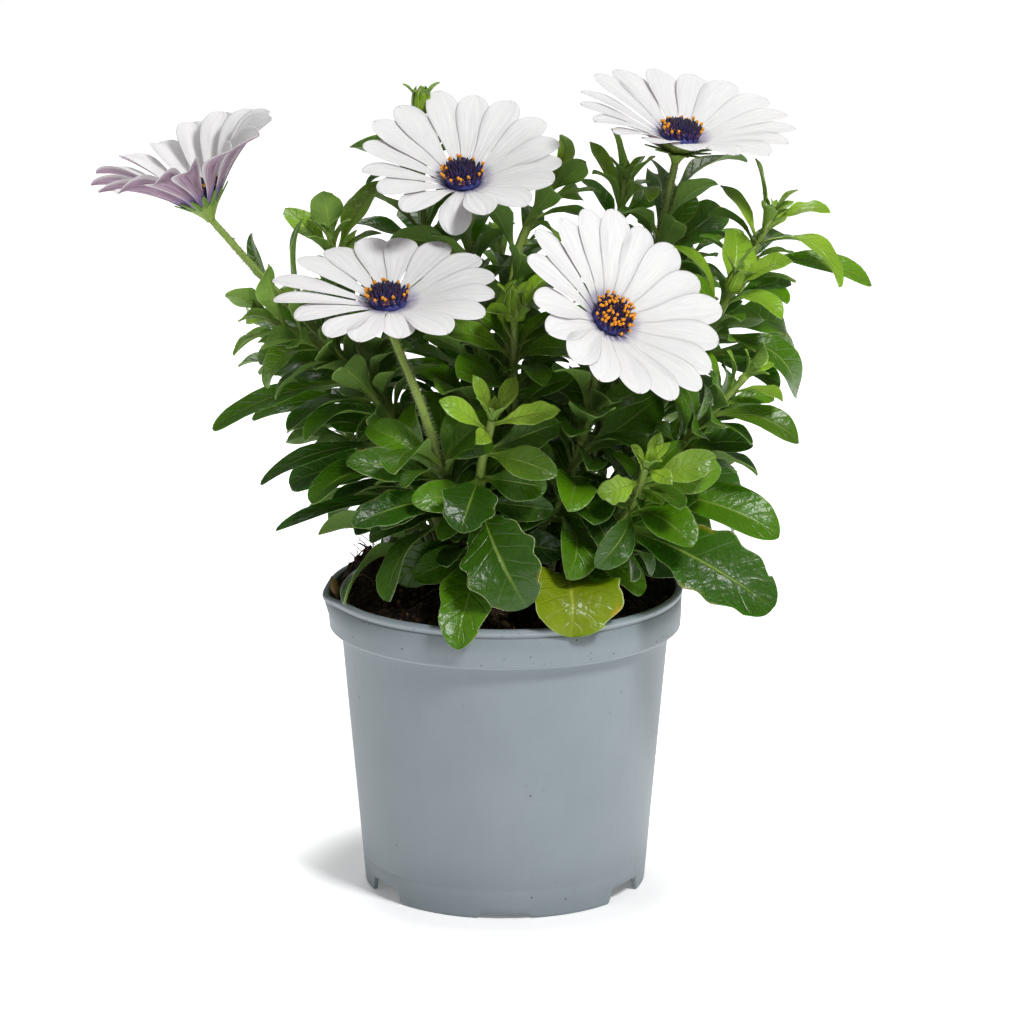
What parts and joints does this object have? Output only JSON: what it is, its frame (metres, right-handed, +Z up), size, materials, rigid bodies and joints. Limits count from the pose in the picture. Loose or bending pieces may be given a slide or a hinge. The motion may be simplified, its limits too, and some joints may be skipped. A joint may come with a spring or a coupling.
{
  "type": "potted osteospermum",
  "caption": "Potted white African daisy: round tapered nursery pot filled with peat, leafy branching shoots, open white daisy blooms with dark violet centres, one half closed.",
  "frame": {"origin": "middle of the pot's foot, on the surface that it stands on", "axes": "+Z up along the pot's axis, -Y is the side of the plant that the front bloom leans to, +X to its right"},
  "size_m": [0.2599, 0.1634, 0.2734],
  "materials": {
    "pot": "satin",
    "soil": "matte",
    "foliage": "satin",
    "old_leaf": "satin",
    "rays": "matte",
    "florets": "matte"
  },
  "bodies": {
    "root": {"bloom_front_head": "florets", "bloom_front_rays": "rays", "bloom_goblet_head": "florets", "bloom_goblet_rays": "rays", "bloom_left_head": "florets", "bloom_left_rays": "rays", "bloom_right_head": "florets", "bloom_right_rays": "rays", "bloom_top_head": "florets", "bloom_top_rays": "rays", "pot": "pot", "shoot_back": "foliage", "shoot_back_bud": "foliage", "shoot_back_left": "foliage", "shoot_back_low": "foliage", "shoot_back_right": "foliage", "shoot_bloom_front": "foliage", "shoot_bloom_goblet": "foliage", "shoot_bloom_left": "foliage", "shoot_bloom_right": "foliage", "shoot_bloom_top": "foliage", "shoot_bud": "foliage", "shoot_front": "foliage", "shoot_front_right": "foliage", "shoot_high": "foliage", "shoot_left": "foliage", "shoot_left_back": "foliage", "shoot_left_high": "foliage", "shoot_middle_high": "foliage", "shoot_right": "foliage", "shoot_right_high": "foliage", "shoot_right_low": "foliage", "soil": "soil", "yellow_leaf": "old_leaf"}
  },
  "joints": []
}
